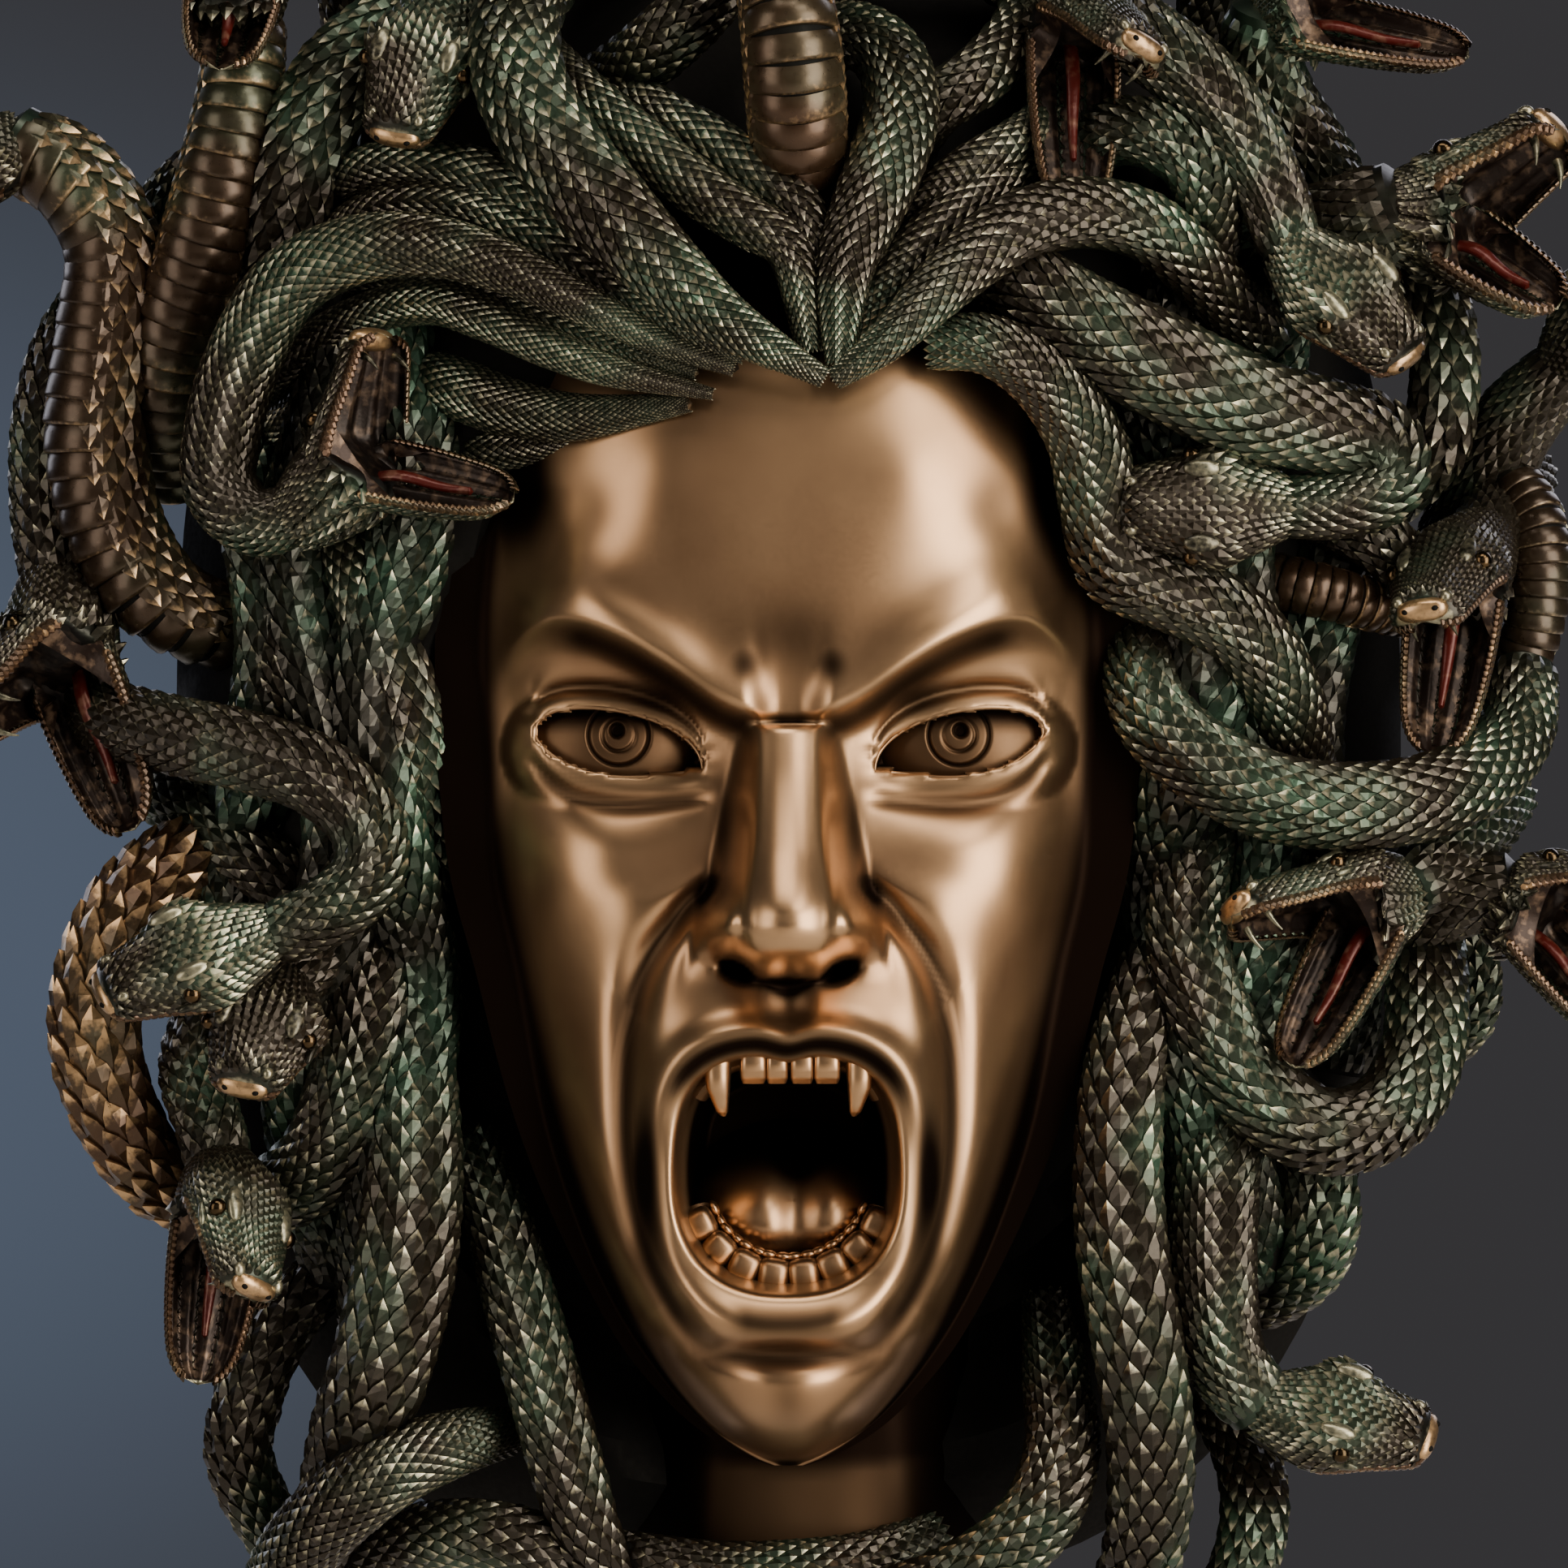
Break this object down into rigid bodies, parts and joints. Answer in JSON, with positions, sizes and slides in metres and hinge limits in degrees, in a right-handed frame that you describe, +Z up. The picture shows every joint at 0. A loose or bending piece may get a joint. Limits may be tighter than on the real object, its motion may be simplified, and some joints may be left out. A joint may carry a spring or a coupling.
{
  "type": "gorgon wall mask",
  "caption": "Wall mask of a screaming gorgon: a fanged face ringed by a nest of scaled snakes, cast in one piece with a flat back and a hanging recess.",
  "frame": {"origin": "on the flat back, on the face's centre line and near the height of its eyes, where the back meets the wall", "axes": "+Z up, +Y out of the flat back into the wall, so the face looks along -Y; +X to the viewer's right"},
  "size_m": [0.3428, 0.1199, 0.3582],
  "materials": {
    "bronze": "patinated cast bronze, polished brown on the face and green-black with rubbed gold edges on the snakes"
  },
  "bodies": {
    "root": {"gorgon_mask": "bronze"}
  },
  "joints": []
}
